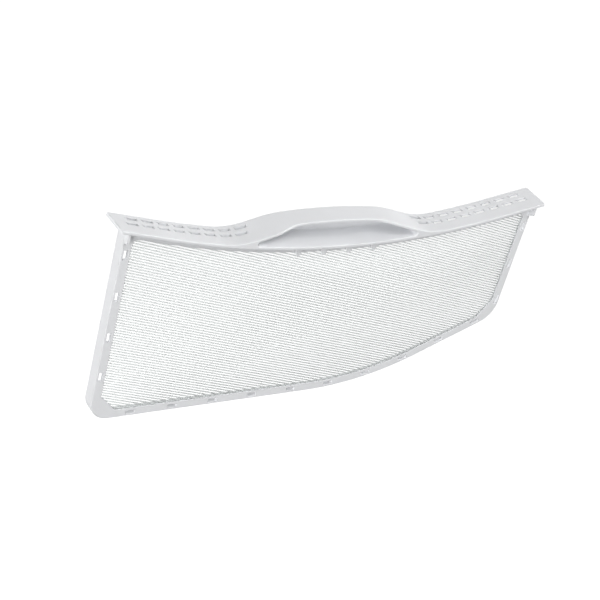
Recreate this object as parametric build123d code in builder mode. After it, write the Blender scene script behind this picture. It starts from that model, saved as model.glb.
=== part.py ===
from build123d import *
import math
import os

# Tumble dryer lint filter: a moulded frame, with a sagging rail, a finger handle and a flat blade, that holds
# a woven screen. X runs along the rail, Y from front to back and Z up. The origin is on the underside of the
# rail, at the middle of its length and of the blade's depth. Sizes are in millimetres and angles in degrees.

# Rail: the curved plate that closes the dryer's slot. Its middle stretch is an arc and its ends are straight.
rail_length = 450.0
rail_depth = 32.0
rail_wall = 3.0
rail_radius = 810.0
rail_arc_span = 350.0
rail_corner = 2.5
rail_edge = 1.0
rail_under_edge = 0.5
rail_overhang = 6.8

# Vent slots: two staggered rows at each end of the rail, each slot with a ramp that leads down to its mouth.
# The rows start beside the handle and run on as far as the rail's ends leave room for. The plate is thinned
# to a web by a recess under each pair of rows.
slot_length = 12.0
slot_width = 3.8
slot_mouth = 7.5
slot_pitch = 15.65
slot_end = 15.0
slot_first = 94.7
slot_row_gap = 8.9
slot_row_shift = 3.3
slot_margin = 7.4
slot_web = 2.2
slot_recess_rim = 1.0

# Handle: the rail's plate rises, a little left of the middle, over a finger pocket that is open at the front.
handle_offset = -3.0
handle_height = 21.8
handle_crest_radius = 560.0
handle_shoulder_span = 124.0
handle_foot_span = 203.0
handle_shoulder_round = 120.0
handle_foot_round = 77.0
flank_straight = 4.0
lip_setback = 8.0
lip_span = 88.0
lip_flare = 22.0
lip_round = 24.0
pocket_end_round = 2.3
pocket_back_round = 1.8
pocket_edge = 1.0

# Blade: the flat frame below the rail, with a short right side and a bottom edge that bends up to it. It
# is deepest at its left side.
blade_width = 434.0
blade_depth = 13.6
blade_right_depth = 8.6
blade_slope_overrun = 8.0
blade_wall = 2.2
blade_edge = 0.7
side_taper = 1.1
left_drop = 168.3
right_drop = 98.4
bend_from_middle = 75.7
bend_drop = 162.6
left_corner = 20.0
bend_round = 300.0
right_corner = 26.0

# Border: the strip round the screen, moulded over its edge, with small windows just outside that edge.
border_width = 8.5
border_skin = 1.0
top_bar = 6.3
left_web = 17.0
right_web = 14.0
opening_corner = 4.5
window_length = 9.5
window_width = 3.8
window_pitch = 41.8
side_window_level = 4.5
left_windows = 4
right_windows = 3
bottom_windows = 10
bottom_window_start = 37.0

# Lugs that brace the rail's ends, and the small gussets under the pocket's lip.
lug_height = 13.5
lug_rake = 3.5
lug_setback = 0.8
lug_round = 2.0
gusset_pitch = 27.0
gusset_count = 4
gusset_width = 10.0
gusset_drop = 11.7
gusset_reach = 3.0
gusset_round = 1.5

# Screen: one thin wall of parallel threads, caught in a groove inside the border.
screen_wall = 0.8
screen_clearance = 0.1
screen_bite = 2.0
screen_selvedge = 1.5
thread_pitch = 2.54
thread_width = 1.3
thread_angle = -16.4

# Planes, levels and counts that follow from the sizes above
blade_front = -blade_depth / 2
blade_back = blade_depth / 2
slope_end = blade_width / 2 + blade_slope_overrun
rail_front = blade_front - rail_overhang
rail_back = rail_front + rail_depth
rail_centre = rail_wall + rail_radius
rail_end_angle = math.asin(rail_arc_span / 2 / rail_radius)
crest_level = rail_wall + handle_height
taper = math.tan(math.radians(side_taper))
headroom = rail_length / 4
groove_front = blade_front + border_skin
groove_width = screen_wall + screen_clearance
border_depth = 2 * border_skin + groove_width
screen_inset = border_width - screen_bite
screen_top = rail_wall + top_bar - screen_bite
slot_count = int((rail_length / 2 - slot_first - slot_end) / slot_pitch) + 1
recess_start = slot_first - slot_length / 2 - slot_recess_rim
recess_end = slot_first + slot_row_shift + (slot_count - 1) * slot_pitch + slot_length / 2 + slot_recess_rim
recess_back = rail_back - slot_margin + slot_width / 2 + slot_recess_rim
recess_depth = slot_row_gap + slot_width + 2 * slot_recess_rim

# Flanks of the handle, and the rounds at their two ends, which share what a flank's straight stretch leaves
shoulder_angle = math.asin(handle_shoulder_span / 2 / handle_crest_radius)
shoulder_level = crest_level - handle_crest_radius * (1 - math.cos(shoulder_angle))
foot_angle = math.asin(handle_foot_span / 2 / rail_radius)
flank_run = (handle_foot_span - handle_shoulder_span) / 2
flank_rise = shoulder_level - rail_centre + rail_radius * math.cos(foot_angle)
flank_angle = math.atan2(flank_rise, flank_run)
round_run = (math.hypot(flank_run, flank_rise) - flank_straight) / 2
shoulder_round = min(handle_shoulder_round, round_run / math.tan((flank_angle - shoulder_angle) / 2))
foot_round = min(handle_foot_round, round_run / math.tan((flank_angle + foot_angle) / 2))
handle_turn = -math.degrees(math.asin(handle_offset / rail_radius))


def rail_angle(x):
    """Slope of the rail at x, in radians."""
    return math.copysign(min(math.asin(min(abs(x) / rail_radius, 1)), rail_end_angle), x)


def rail_point(x, depth):
    """Point of the rail's section, depth under its top face, on the normal through x on that face."""
    angle = rail_angle(x)
    past_arc = (x - rail_radius * math.sin(angle)) / math.cos(angle)
    radius = rail_radius + depth
    along = (math.cos(angle) * past_arc, math.sin(angle) * past_arc)
    return (radius * math.sin(angle) + along[0], rail_centre - radius * math.cos(angle) + along[1])


def rail_line(depth, reach):
    """Draws the rail's curve, depth under its top face, out to reach on both sides."""
    join = rail_arc_span / 2
    points = [rail_point(x, depth) for x in (-reach, -join, 0, join, reach)]
    Line(points[0], points[1])
    ThreePointArc(points[1], points[2], points[3])
    Line(points[3], points[4])
    return points[0], points[4]


def rail_band(top_depth, bottom_depth, reach, y):
    """Band along the rail's curve, between two depths under its top face, out to reach, on the plane at y."""
    with BuildSketch(Plane.XZ.offset(-y)) as band:
        with BuildLine():
            top = rail_line(top_depth, reach)
            bottom = rail_line(bottom_depth, reach)
            Line(top[0], bottom[0])
            Line(top[1], bottom[1])
        make_face()
    return band.sketch


def handle_section(depth, drop, y):
    """Section of the handle's hump, lowered by drop, on the plane at y.

    Its flanks run on through the rail's top face and end depth under it, in sharp feet. It is drawn at the
    middle and then turned about the centre of the rail's arc to its place."""
    run_on = depth / math.sin(flank_angle + foot_angle)
    foot = handle_foot_span / 2 + run_on * math.cos(flank_angle)
    foot_level = shoulder_level - flank_rise - run_on * math.sin(flank_angle) - drop
    left_foot, right_foot = (-foot, foot_level), (foot, foot_level)
    shoulder = handle_shoulder_span / 2
    left_shoulder, right_shoulder = (-shoulder, shoulder_level - drop), (shoulder, shoulder_level - drop)
    with BuildSketch(Plane.XZ.offset(-y)) as section:
        with BuildLine():
            Line(left_foot, left_shoulder)
            ThreePointArc(left_shoulder, (0, crest_level - drop), right_shoulder)
            Line(right_shoulder, right_foot)
            ThreePointArc(right_foot, (0, rail_wall - depth - drop), left_foot)
        make_face()
        fillet(section.vertices().sort_by(Axis.Y)[2:], shoulder_round)
    return section.sketch.rotate(Axis((0, 0, rail_centre), (0, 1, 0)), handle_turn)


def blade_corners(inset):
    """Corners of the blade's outline, moved in by inset, from the top left down and round to the right."""
    half = blade_width / 2
    corners = [
        Vector(-half - headroom * taper, headroom),
        Vector(-half + left_drop * taper, -left_drop),
        Vector(bend_from_middle, -bend_drop),
        Vector(half - right_drop * taper, -right_drop),
        Vector(half + headroom * taper, headroom),
    ]
    moved = []
    for before, corner, after in zip(corners[-1:] + corners[:-1], corners, corners[1:] + corners[:1]):
        first = (corner - before).normalized().rotate(Axis.Z, 90)
        second = (after - corner).normalized().rotate(Axis.Z, 90)
        moved.append(corner + (first + second) * (inset / (1 + first.dot(second))))
    return moved


def blade_face(inset, depth, y, webs=None):
    """Blade outline moved in by inset and cut off depth under the rail's top face, on the plane at y.

    Its lower corners are rounded. Where the two webs are given, they cut across these corners instead, and
    the upper corners are rounded too."""
    with BuildSketch(Plane.XZ.offset(-y)) as face:
        with BuildLine():
            Polyline(*blade_corners(inset), close=True)
        make_face()
        rounds = ((2, right_corner), (1, bend_round), (0, left_corner))
        for place, radius in rounds:
            corner = face.vertices().sort_by(Axis.Y)[:3].sort_by(Axis.X)[place]
            if webs and place != 1:
                chamfer(corner, webs[place // 2])
            else:
                fillet(corner, radius - inset)
        with BuildLine():
            ends = rail_line(depth, rail_length)
            Polyline(ends[1], (ends[1][0], rail_length), (ends[0][0], rail_length), ends[0])
        make_face(mode=Mode.SUBTRACT)
        if webs:
            fillet(face.vertices().sort_by(Axis.X)[0], opening_corner)
            fillet(face.vertices().sort_by(Axis.X)[-1], opening_corner)
    return face.sketch


def side_window_planes(side, count):
    """Planes of the windows down one side of the border, side being -1 for the left and 1 for the right."""
    planes = []
    for number in range(count):
        level = side_window_level - number * window_pitch
        x = side * (blade_width / 2 + level * taper - border_width / 2)
        planes.append(Plane((x, blade_front, level), x_dir=(side * taper, 0, 1), z_dir=(0, -1, 0)))
    return planes


def bottom_window_planes():
    """Planes of the windows along the bottom of the border, evenly spaced round its bend."""
    inset = border_width / 2
    with BuildLine() as middle:
        FilletPolyline(*blade_corners(inset)[1:4], radius=bend_round - inset)
    path = middle.wire()
    planes = []
    for number in range(bottom_windows):
        along = bottom_window_start + number * window_pitch
        point = path.position_at(along, position_mode=PositionMode.LENGTH)
        heading = path.tangent_at(along, position_mode=PositionMode.LENGTH)
        seat = (point.X, blade_front, point.Y)
        planes.append(Plane(seat, x_dir=(heading.X, 0, heading.Y), z_dir=(0, -1, 0)))
    return planes


def slot_planes():
    """Planes of the vent slots, square to the rail, at the back of each slot."""
    planes = []
    for row, shift in ((0, 0), (1, slot_row_shift)):
        y = rail_back - slot_margin - row * slot_row_gap + slot_width / 2
        for side in (-1, 1):
            for number in range(slot_count):
                x = side * (slot_first + shift + number * slot_pitch)
                angle = rail_angle(x)
                top = rail_point(x, 0)
                along = (math.cos(angle), 0, math.sin(angle))
                planes.append(Plane((top[0], y, top[1]), x_dir=along, z_dir=(0, -1, 0)))
    return planes


# Blade of the frame: a shallow tray, open at the back, with the border and its groove round the front
with BuildPart() as blade:
    extrude(blade_face(0, rail_wall / 2, blade_front), amount=-blade_depth)

    # Back of the tray, sloped forward to the right, and softened edges
    with BuildSketch(Plane.XY.offset(-rail_length)):
        Polygon(
            (-slope_end, blade_back),
            (slope_end, blade_front + blade_right_depth),
            (slope_end, blade_back),
            align=None,
        )
    extrude(amount=2 * rail_length, mode=Mode.SUBTRACT)
    chamfer(blade.edges().filter_by(Axis.Y, reverse=True), blade_edge)

    # Hollow behind the border, and the opening that the screen fills
    hollow = blade_face(blade_wall, rail_wall, blade_front + border_depth)
    extrude(hollow, amount=-blade_depth, mode=Mode.SUBTRACT)
    opening = blade_face(border_width, rail_wall + top_bar, blade_front, (left_web, right_web))
    extrude(opening, amount=-blade_depth, mode=Mode.SUBTRACT)

    # Groove for the edge of the screen
    groove = blade_face(screen_inset - screen_clearance, screen_top - screen_clearance, groove_front)
    extrude(groove, amount=-groove_width, mode=Mode.SUBTRACT)

    # Windows through the border
    side_planes = side_window_planes(-1, left_windows) + side_window_planes(1, right_windows)
    with BuildSketch(*side_planes, *bottom_window_planes()):
        Rectangle(window_length, window_width)
    extrude(amount=-border_depth, mode=Mode.SUBTRACT)

# Finger pocket inside the handle: one wall thickness under the hump and in front of the handle's back
with BuildPart() as pocket:
    with BuildSketch(Plane.XZ.offset(rail_wall - rail_back)) as section:
        add(handle_section(0, 0, rail_back - rail_wall))
        add(handle_section(rail_wall, rail_wall, rail_back - rail_wall), mode=Mode.INTERSECT)
        fillet(section.vertices().sort_by(Axis.Y)[:2], pocket_end_round)
    extrude(amount=2 * rail_depth)
    fillet(pocket.faces().sort_by(Axis.Y)[-1].edges(), pocket_back_round)

# Frame: rail, handle and blade in one white moulding
with BuildPart() as filter_frame:
    # Rail and handle, drawn as one section so that the plate sweeps up into the handle
    with BuildSketch(Plane.XZ.offset(-rail_back)) as profile:
        add(rail_band(0, rail_wall, rail_length / 2, rail_back))
        add(handle_section(rail_wall / 2, 0, rail_back))
        for side in (-1, 1):
            foot = Vector(*rail_point(handle_offset + side * handle_foot_span / 2, 0))
            fillet(profile.vertices().sort_by_distance(foot)[0], foot_round)
    extrude(amount=rail_depth)

    # Finger pocket, and the front lip set back over it between the handle's feet
    add(pocket.part, mode=Mode.SUBTRACT)
    with BuildSketch(Plane.XY.offset(rail_wall + handle_height / 2)) as setback:
        with BuildLine():
            Polyline(
                (handle_offset - lip_span / 2 - lip_flare, rail_front),
                (handle_offset - lip_span / 2, rail_front + lip_setback),
                (handle_offset + lip_span / 2, rail_front + lip_setback),
                (handle_offset + lip_span / 2 + lip_flare, rail_front),
                close=True,
            )
        make_face()
    extrude(amount=handle_height, mode=Mode.SUBTRACT)
    upright = filter_frame.edges().filter_by(Axis.Z)
    fillet(upright.filter_by_position(Axis.Y, rail_front, rail_front + lip_setback), lip_round)

    # Rounded corners in plan, and softened edges round the mouth of the pocket and the plate
    ends = filter_frame.faces().sort_by(Axis.X)
    fillet((ends[0].edges() + ends[-1].edges()).filter_by(Axis.Y, reverse=True), rail_corner)
    fillet(filter_frame.edges().sort_by_distance((0, rail_front, rail_wall))[0], pocket_edge)
    ends = filter_frame.faces().filter_by(GeomType.PLANE).sort_by(Axis.X)
    rims = (ends[0].edges() + ends[-1].edges()).filter_by(Axis.Y)
    fillet(rims.sort_by(Axis.Z)[2:], rail_edge)
    ends = filter_frame.faces().filter_by(GeomType.PLANE).sort_by(Axis.X)
    rims = (ends[0].edges() + ends[-1].edges()).filter_by(Axis.Y)
    chamfer(rims.sort_by(Axis.Z)[:2], rail_under_edge)

    # Blade, its top edge sunk in the rail's plate
    add(blade.part)

    # Recesses that thin the plate under the slots, and the slots, each cut with its ramp
    with BuildSketch(Plane.XZ.offset(-recess_back)):
        add(rail_band(slot_web, 2 * rail_wall, recess_end, recess_back))
        Rectangle(2 * recess_start, rail_length, mode=Mode.SUBTRACT)
    extrude(amount=recess_depth, mode=Mode.SUBTRACT)
    with BuildSketch(*slot_planes()):
        Polygon(
            (slot_length / 2 - slot_mouth, -slot_web),
            (slot_length / 2 - slot_mouth, -2 * rail_wall),
            (slot_length / 2, -2 * rail_wall),
            (slot_length / 2, handle_height),
            (-slot_length / 2, handle_height),
            (-slot_length / 2, 0),
            align=None,
        )
    extrude(amount=slot_width, mode=Mode.SUBTRACT)

    # Lugs at both ends, from the blade's sides forward under the rail
    lug_top = rail_point(blade_width / 2 - blade_wall, rail_wall / 2)[1]
    with BuildSketch(Plane.YZ.offset(blade_width / 2 - blade_wall)) as lug:
        with BuildLine():
            Polyline(
                (groove_front, lug_top),
                (rail_front + lug_setback, lug_top),
                (rail_front + lug_setback, lug_top - lug_height + lug_rake),
                (groove_front, lug_top - lug_height),
                close=True,
            )
        make_face()
        fillet(lug.vertices().sort_by(Axis.X)[:2].sort_by(Axis.Y)[0], lug_round)
    lugs = extrude(amount=blade_wall)
    mirror(lugs, about=Plane.YZ)

    # Gussets between the top bar and the underside of the rail
    gusset_planes = []
    for number in range(gusset_count):
        seat = rail_point((number - (gusset_count - 1) / 2) * gusset_pitch, rail_wall / 2)
        gusset_planes.append(Plane((seat[0], blade_front, seat[1]), x_dir=(1, 0, 0), z_dir=(0, -1, 0)))
    with BuildSketch(*gusset_planes) as gusset:
        with BuildLine():
            Polyline(
                (-gusset_width / 2, 0),
                (0, -gusset_drop - rail_wall / 2),
                (gusset_width / 2, 0),
                close=True,
            )
        make_face()
        fillet(gusset.vertices().sort_by(Axis.Y)[0], gusset_round)
    extrude(amount=gusset_reach)
filter_frame.part.label = "filter_frame"

# Screen: threads and gaps in one wall, with a solid selvedge in the border's groove
with BuildPart() as mesh_screen:
    screen_face = blade_face(screen_inset, screen_top, groove_front)
    extrude(screen_face, amount=-screen_wall)
    box = screen_face.bounding_box()
    slant = math.radians(abs(thread_angle))
    gap_count = int((box.size.Z * math.cos(slant) + box.size.X * math.sin(slant)) / thread_pitch)
    with BuildSketch(Plane.XZ.offset(-groove_front)):
        with Locations(Location((0, box.center().Z), thread_angle)):
            with GridLocations(0, thread_pitch, 1, gap_count):
                Rectangle(2 * rail_length, thread_pitch - thread_width)
        edge = screen_inset + screen_selvedge
        add(blade_face(edge, screen_top + screen_selvedge, groove_front), mode=Mode.INTERSECT)
    extrude(amount=-screen_wall, mode=Mode.SUBTRACT)
mesh_screen.part.label = "mesh_screen"

os.makedirs("parts", exist_ok=True)
for piece in (filter_frame, mesh_screen):
    export_step(piece.part, f"parts/{piece.part.label}.step")
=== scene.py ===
import math

import bmesh
import bpy
import numpy as np
from mathutils import Matrix, Vector


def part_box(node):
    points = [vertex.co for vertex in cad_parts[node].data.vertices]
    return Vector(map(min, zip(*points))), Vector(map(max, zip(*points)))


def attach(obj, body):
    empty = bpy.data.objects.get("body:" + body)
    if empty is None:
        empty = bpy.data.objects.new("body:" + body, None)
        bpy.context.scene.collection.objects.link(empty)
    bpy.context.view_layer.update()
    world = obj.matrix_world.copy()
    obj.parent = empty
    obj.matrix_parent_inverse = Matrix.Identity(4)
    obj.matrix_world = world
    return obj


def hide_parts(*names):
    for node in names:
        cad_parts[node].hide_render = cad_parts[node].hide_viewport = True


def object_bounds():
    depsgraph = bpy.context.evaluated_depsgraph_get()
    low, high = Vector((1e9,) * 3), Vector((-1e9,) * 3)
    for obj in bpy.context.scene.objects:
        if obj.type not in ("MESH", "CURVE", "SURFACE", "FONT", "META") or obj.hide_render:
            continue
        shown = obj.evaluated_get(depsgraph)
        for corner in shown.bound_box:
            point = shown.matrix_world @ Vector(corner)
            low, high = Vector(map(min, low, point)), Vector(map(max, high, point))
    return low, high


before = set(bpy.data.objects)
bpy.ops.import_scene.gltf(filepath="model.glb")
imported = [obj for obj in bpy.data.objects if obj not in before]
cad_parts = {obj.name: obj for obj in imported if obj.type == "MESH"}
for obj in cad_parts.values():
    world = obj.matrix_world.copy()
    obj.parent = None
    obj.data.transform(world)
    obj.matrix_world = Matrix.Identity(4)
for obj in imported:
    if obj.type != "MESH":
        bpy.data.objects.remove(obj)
cad_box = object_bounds()
MM = 0.001


# Moulded frame: rail, handle, blade and border of the lint filter, injection moulded in one shot of white
# polypropylene round the edge of the screen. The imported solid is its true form, so it keeps its own mesh.
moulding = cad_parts["filter_frame"]


def linear(code):
    """Linear red, green, blue and alpha of an sRGB hex colour."""
    channels = [int(code[place:place + 2], 16) / 255 for place in (1, 3, 5)]
    return [c / 12.92 if c <= 0.04045 else ((c + 0.055) / 1.055) ** 2.4 for c in channels] + [1.0]


def add_node(tree, kind, settings=None, links=None):
    """Adds a node, sets its properties and input values, and links its inputs to other nodes' outputs."""
    node = tree.nodes.new(kind)
    for name, value in (settings or {}).items():
        if isinstance(name, str) and hasattr(node, name):
            setattr(node, name, value)
        else:
            node.inputs[name].default_value = value
    for name, (source, output) in (links or {}).items():
        tree.links.new(source.outputs[output], node.inputs[name])
    return node


def new_material(name):
    """A material with an empty node tree, and that tree."""
    material = bpy.data.materials.new(name)
    material.use_nodes = True
    material.node_tree.nodes.clear()
    return material, material.node_tree


# Polypropylene from a spark-eroded mould: a soft satin white with a fine even grain, and very faint clouds
# of tone and gloss where the melt flowed. Tight corners of the rail and handle, such as its slots, get
# painted shade: an ambient occlusion term darkens their base colour.
# The grain is really about 0.15 mm and is drawn coarser so that it shows.
GRAIN = 0.6 * MM
GRAIN_DEPTH = 0.05 * MM
FLOW = 45 * MM
EDGE_ROUND = 0.5 * MM
CREVICE = 3 * MM
CREVICE_PAINTED_SHADE = 0.5
# The rail sags on an arc about a line this high, and what lies within reach of it is rail or handle,
# the only part that gets the painted crevice shade
RAIL_CENTRE = 813 * MM
RAIL_REACH = 820 * MM
polypropylene, tree = new_material("white_polypropylene_moulded")
place = add_node(tree, "ShaderNodeTexCoord")
grain = add_node(
    tree,
    "ShaderNodeTexNoise",
    {"Scale": 1 / GRAIN, "Detail": 2.0, "Roughness": 0.5},
    {"Vector": (place, "Object")},
)
flow = add_node(
    tree,
    "ShaderNodeTexNoise",
    {"Scale": 1 / FLOW, "Detail": 3.0, "Roughness": 0.55},
    {"Vector": (place, "Object")},
)
tone = add_node(tree, "ShaderNodeValToRGB", links={"Fac": (flow, "Fac")})
tone.color_ramp.elements[0].position = 0.3
tone.color_ramp.elements[0].color = linear("#F0F1F3")
tone.color_ramp.elements[1].position = 0.7
tone.color_ramp.elements[1].color = linear("#F3F4F6")
gloss = add_node(
    tree,
    "ShaderNodeMapRange",
    {"From Min": 0.3, "From Max": 0.7, "To Min": 0.54, "To Max": 0.62},
    {"Value": (flow, "Fac")},
)
# Painted shade: where ambient occlusion finds other surfaces within CREVICE, the base colour is darkened,
# down to half on the rail and handle and not at all on the blade and border.
crevice = add_node(
    tree, "ShaderNodeAmbientOcclusion", {"samples": 8, "only_local": True, "Distance": CREVICE}
)
upright = add_node(
    tree, "ShaderNodeVectorMath", {"operation": "MULTIPLY", 1: (1, 0, 1)}, {0: (place, "Object")}
)
under_rail = add_node(
    tree,
    "ShaderNodeVectorMath",
    {"operation": "DISTANCE", 1: (0, 0, RAIL_CENTRE)},
    {0: (upright, "Vector")},
)
rail_painted_shade_mask = add_node(
    tree,
    "ShaderNodeMapRange",
    {"From Min": RAIL_REACH, "From Max": RAIL_REACH + CREVICE, "To Min": CREVICE_PAINTED_SHADE, "To Max": 1.0},
    {"Value": (under_rail, "Value")},
)
painted_crevice_shade = add_node(
    tree,
    "ShaderNodeMapRange",
    {"From Min": 0.3, "From Max": 0.85, "To Max": 1.0},
    {"Value": (crevice, "AO"), "To Min": (rail_painted_shade_mask, "Result")},
)
tone_with_painted_shade = add_node(
    tree, "ShaderNodeVectorMath", {"operation": "SCALE"}, {0: (tone, "Color"), "Scale": (painted_crevice_shade, "Result")}
)
soft_edge = add_node(tree, "ShaderNodeBevel", {"samples": 6, "Radius": EDGE_ROUND})
relief = add_node(
    tree,
    "ShaderNodeBump",
    {"Strength": 0.06, "Distance": GRAIN_DEPTH},
    {"Height": (grain, "Fac"), "Normal": (soft_edge, "Normal")},
)
surface = add_node(
    tree,
    "ShaderNodeBsdfPrincipled",
    {"IOR": 1.49, "Specular IOR Level": 0.35},
    {"Base Color": (tone_with_painted_shade, "Vector"), "Roughness": (gloss, "Result"), "Normal": (relief, "Normal")},
)
add_node(tree, "ShaderNodeOutputMaterial", links={"Surface": (surface, "BSDF")})
moulding.data.materials.clear()
moulding.data.materials.append(polypropylene)


# Screen: a woven cloth of white polyester, its edge caught in the border's groove. Flat warp threads lie at
# a slant across the panel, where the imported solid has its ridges, and a finer weft passes over and under
# them. The real weave is much finer, and both are drawn coarser so that they show.
cloth_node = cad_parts["mesh_screen"]
cloth_low, cloth_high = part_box("mesh_screen")
cloth_mid = (cloth_low.y + cloth_high.y) / 2
WARP_ANGLE = math.radians(-16.4)
WARP_PITCH = 2.54 * MM
WARP_WIDTH = 1.5 * MM
WARP_THICKNESS = 0.64 * MM
WARP_SIDES = 12
WEFT_PITCH = 2.54 * MM
WEFT_WIDTH = 0.16 * MM
WEFT_SWING = 0.34 * MM
WEFT_SIDES = 4


def cloth_outline(node):
    """Corners of the cloth's outer edge, as X and Z, in order round it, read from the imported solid."""
    mesh = bmesh.new()
    mesh.from_mesh(node.data)
    bmesh.ops.remove_doubles(mesh, verts=mesh.verts, dist=0.001 * MM)
    front = {face for face in mesh.faces if face.normal.y < -0.9}
    ahead = {}
    for face in front:
        for loop in face.loops:
            if sum(other in front for other in loop.edge.link_faces) == 1:
                ahead[loop.vert] = loop.link_loop_next.vert
    rings = []
    while ahead:
        start, vertex = ahead.popitem()
        ring = [start]
        while vertex is not start:
            ring.append(vertex)
            vertex = ahead.pop(vertex)
        rings.append(np.array([(v.co.x, v.co.z) for v in ring]))
    mesh.free()
    return max(rings, key=lambda ring: np.ptp(ring[:, 0]) * np.ptp(ring[:, 1]))


outline = cloth_outline(cloth_node)


def runs_inside(direction, across, offset):
    """Stretches along direction where the line at that offset across lies within the outline."""
    beyond = outline @ across - offset
    along = outline @ direction
    hits = []
    for here, after, a, b in zip(beyond, np.roll(beyond, -1), along, np.roll(along, -1)):
        if (here < 0) != (after < 0):
            hits.append(a + (b - a) * here / (here - after))
    hits.sort()
    return list(zip(hits[::2], hits[1::2]))


def thread_tube(mesh, points, width, thickness, across, sides):
    """Adds a closed tube of squarish round section along points, wide along across and thick along Y."""
    rings = []
    for point in points:
        ring = []
        for side in range(sides):
            turn = 2 * math.pi * (side + 0.5) / sides
            wide, thick = math.cos(turn), math.sin(turn)
            wide, thick = (math.copysign(math.sqrt(abs(reach)), reach) for reach in (wide, thick))
            offset = across * (width / 2 * wide) + Vector((0, thickness / 2 * thick, 0))
            ring.append(mesh.verts.new(point + offset))
        rings.append(ring)
    for first, second in zip(rings, rings[1:]):
        for side in range(sides):
            after = (side + 1) % sides
            mesh.faces.new((first[side], first[after], second[after], second[side]))
    mesh.faces.new(rings[0][::-1])
    mesh.faces.new(rings[-1])


def thread_piece(name, mesh):
    """A smooth object of threads from a finished bmesh."""
    bmesh.ops.recalc_face_normals(mesh, faces=mesh.faces)
    data = bpy.data.meshes.new(name)
    mesh.to_mesh(data)
    mesh.free()
    for polygon in data.polygons:
        polygon.use_smooth = True
    piece = bpy.data.objects.new(name, data)
    bpy.context.scene.collection.objects.link(piece)
    return piece


warp_way = np.array((math.cos(WARP_ANGLE), math.sin(WARP_ANGLE)))
weft_way = np.array((-math.sin(WARP_ANGLE), math.cos(WARP_ANGLE)))
warp_across = Vector((weft_way[0], 0, weft_way[1]))
weft_across = Vector((warp_way[0], 0, warp_way[1]))


def at(along_warp, along_weft, y):
    """Point of the cloth from its places along the two ways of the weave."""
    x, z = warp_way * along_warp + weft_way * along_weft
    return Vector((x, y, z))


warp_base = weft_way[1] * (cloth_low.z + cloth_high.z) / 2
warp_first = math.ceil(((outline @ weft_way).min() - warp_base) / WARP_PITCH)
warp_last = math.floor(((outline @ weft_way).max() - warp_base) / WARP_PITCH)
warp_mesh = bmesh.new()
for number in range(warp_first, warp_last + 1):
    level = warp_base + number * WARP_PITCH
    for start, end in runs_inside(warp_way, weft_way, level):
        if end - start > WARP_PITCH:
            points = [at(start, level, cloth_mid), at(end, level, cloth_mid)]
            thread_tube(warp_mesh, points, WARP_WIDTH, WARP_THICKNESS, warp_across, WARP_SIDES)
screen_warp = thread_piece("screen_warp", warp_mesh)

weft_mesh = bmesh.new()
weft_first = math.ceil((outline @ warp_way).min() / WEFT_PITCH)
weft_last = math.floor((outline @ warp_way).max() / WEFT_PITCH)
for number in range(weft_first, weft_last + 1):
    column = number * WEFT_PITCH
    for start, end in runs_inside(weft_way, warp_way, column):
        lowest, highest = ((edge - warp_base) / WARP_PITCH for edge in (start, end))
        crossings = range(math.ceil(lowest), math.floor(highest) + 1)
        if len(crossings) > 1:
            points = []
            for crossing in crossings:
                swing = WEFT_SWING if (crossing + number) % 2 else -WEFT_SWING
                points.append(at(column, warp_base + crossing * WARP_PITCH, cloth_mid + swing))
            thread_tube(weft_mesh, points, WEFT_WIDTH, WEFT_WIDTH, weft_across, WEFT_SIDES)
screen_weft = thread_piece("screen_weft", weft_mesh)

# Polyester thread: white and a little glossy, with faint streaks along each thread where its filaments lie.
# It lets some of the light behind it through, so a thread's far side, seen from within, is clear. The
# streaks are really under 0.1 mm and are drawn coarser to show.
FILAMENT = 0.3 * MM
FILAMENT_STRETCH = 0.04
GLOW_THROUGH = 0.3
polyester, tree = new_material("white_polyester_thread")
place = add_node(tree, "ShaderNodeTexCoord")
turned = add_node(
    tree,
    "ShaderNodeMapping",
    {"Rotation": (0, WARP_ANGLE, 0), "Scale": (FILAMENT_STRETCH, 1.0, 1.0)},
    {"Vector": (place, "Object")},
)
streaks = add_node(
    tree, "ShaderNodeTexNoise", {"Scale": 1 / FILAMENT, "Detail": 2.0}, {"Vector": (turned, "Vector")}
)
tone = add_node(tree, "ShaderNodeValToRGB", links={"Fac": (streaks, "Fac")})
tone.color_ramp.elements[0].position = 0.3
tone.color_ramp.elements[0].color = linear("#ECF0EF")
tone.color_ramp.elements[1].position = 0.7
tone.color_ramp.elements[1].color = linear("#F2F5F4")
surface = add_node(
    tree,
    "ShaderNodeBsdfPrincipled",
    {"IOR": 1.57, "Roughness": 0.4},
    {"Base Color": (tone, "Color")},
)
glow = add_node(tree, "ShaderNodeBsdfTranslucent", links={"Color": (tone, "Color")})
thread = add_node(
    tree, "ShaderNodeMixShader", {0: GLOW_THROUGH}, {1: (surface, "BSDF"), 2: (glow, "BSDF")}
)
far_side = add_node(tree, "ShaderNodeNewGeometry")
clear = add_node(tree, "ShaderNodeBsdfTransparent")
lit = add_node(
    tree,
    "ShaderNodeMixShader",
    links={0: (far_side, "Backfacing"), 1: (thread, "Shader"), 2: (clear, "BSDF")},
)
add_node(tree, "ShaderNodeOutputMaterial", links={"Surface": (lit, "Shader")})
for piece in (screen_warp, screen_weft):
    piece.data.materials.append(polyester)
    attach(piece, "root")
    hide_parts("mesh_screen")


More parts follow.
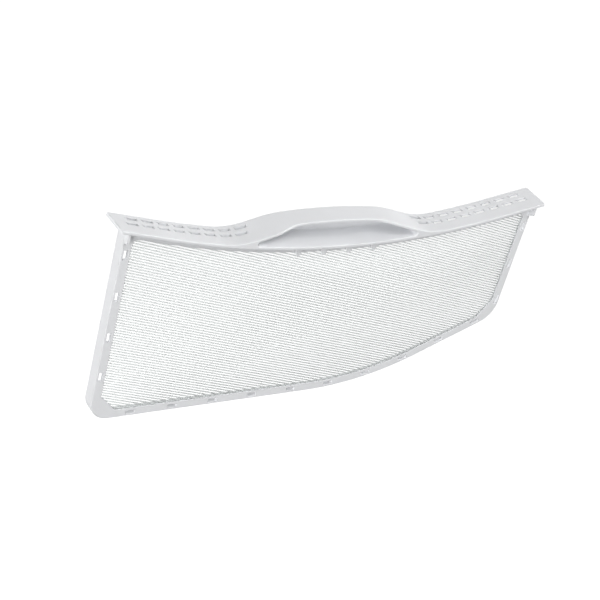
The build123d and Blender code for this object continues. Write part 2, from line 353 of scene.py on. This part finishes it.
# Floor: a plain pale studio floor of backdrop paper, far below the filter. To the camera it burns out to
# white, as in a catalogue picture, and to the filter it gives back only its soft reflected light.
FLOOR_DROP = 3.0
FLOOR_REACH = 20.0
floor_level = cad_box[0].z - FLOOR_DROP
corners = [(-1, -1), (1, -1), (1, 1), (-1, 1)]
floor_corners = [(FLOOR_REACH * x, FLOOR_REACH * y, floor_level) for x, y in corners]
floor_data = bpy.data.meshes.new("floor")
floor_data.from_pydata(floor_corners, [], [(0, 1, 2, 3)])
floor = bpy.data.objects.new("floor", floor_data)
bpy.context.scene.collection.objects.link(floor)
paper, tree = new_material("white_backdrop_paper")
ray = add_node(tree, "ShaderNodeLightPath")
surface = add_node(
    tree,
    "ShaderNodeBsdfPrincipled",
    {"Base Color": linear("#C4C4C4"), "Roughness": 0.9, "Emission Color": linear("#FFFFFF")},
    {"Emission Strength": (ray, "Is Camera Ray")},
)
add_node(tree, "ShaderNodeOutputMaterial", links={"Surface": (surface, "BSDF")})
floor.data.materials.append(paper)


# Studio light: a large soft box in front at the left, smaller ones at the right, above, at the left and low
# behind, all far off so that the screen is lit evenly, and a room that is white to the camera alone.
def soft_box(name, place, target, size, power):
    """An area light at place that faces target, in metres and watts."""
    lamp = bpy.data.lights.new(name, "AREA")
    lamp.shape = "SQUARE"
    lamp.size = size
    lamp.energy = power
    lamp_object = bpy.data.objects.new(name, lamp)
    lamp_object.location = place
    aim = Vector(target) - Vector(place)
    lamp_object.rotation_euler = aim.to_track_quat("-Z", "Y").to_euler()
    lamp_object.visible_camera = False
    bpy.context.scene.collection.objects.link(lamp_object)


SMALL_BOX = 2.8
LARGE_BOX = 5.6
screen_middle = (0, 0, -0.06)
soft_box("right_box", (4.8, 0.0, 1.6), screen_middle, SMALL_BOX, 240)
soft_box("top_box", (0.0, 0.0, 5.0), screen_middle, SMALL_BOX, 18)
soft_box("high_front_box", (0.0, -2.8, 4.2), screen_middle, SMALL_BOX, 116)
soft_box("left_front_box", (-6.8, -6.8, 2.0), screen_middle, LARGE_BOX, 530)
soft_box("left_box", (-4.8, 0.0, 0.8), screen_middle, SMALL_BOX, 46)
soft_box("left_back_box", (-3.4, 3.4, 0.0), screen_middle, SMALL_BOX, 80)
soft_box("back_box", (0.6, 4.8, 0.0), screen_middle, SMALL_BOX, 60)

room = bpy.data.worlds.new("white_room")
room.use_nodes = True
background = room.node_tree.nodes["Background"]
background.inputs["Color"].default_value = linear("#FFFFFF")
sight = add_node(room.node_tree, "ShaderNodeLightPath")
room.node_tree.links.new(sight.outputs["Is Camera Ray"], background.inputs["Strength"])
bpy.context.scene.world = room
bpy.context.scene.view_settings.view_transform = "Standard"


# Camera: a long lens in front of the filter at its left, looking down on it and rolled, as in the
# photograph. Its place and angles come from a fit of the solid's corners to that picture.
CAMERA_PLACE = Vector((-881.8, -1112.0, 748.3)) * MM
CAMERA_AZIMUTH = math.radians(37.85)
CAMERA_ELEVATION = math.radians(29.94)
CAMERA_ROLL = math.radians(15.87)
CAMERA_LENS = 106.95
CAMERA_SENSOR = 36.0
camera_data = bpy.data.cameras.new("camera")
camera_data.lens = CAMERA_LENS
camera_data.sensor_width = CAMERA_SENSOR
camera = bpy.data.objects.new("camera", camera_data)
turn = Matrix.Rotation(-CAMERA_AZIMUTH, 4, "Z") @ Matrix.Rotation(math.pi / 2 - CAMERA_ELEVATION, 4, "X")
camera.matrix_world = Matrix.Translation(CAMERA_PLACE) @ turn @ Matrix.Rotation(CAMERA_ROLL, 4, "Z")
bpy.context.scene.collection.objects.link(camera)
bpy.context.scene.camera = camera


# Bring the scene up to date; the box of the solids was taken after the import
bpy.context.view_layer.update()
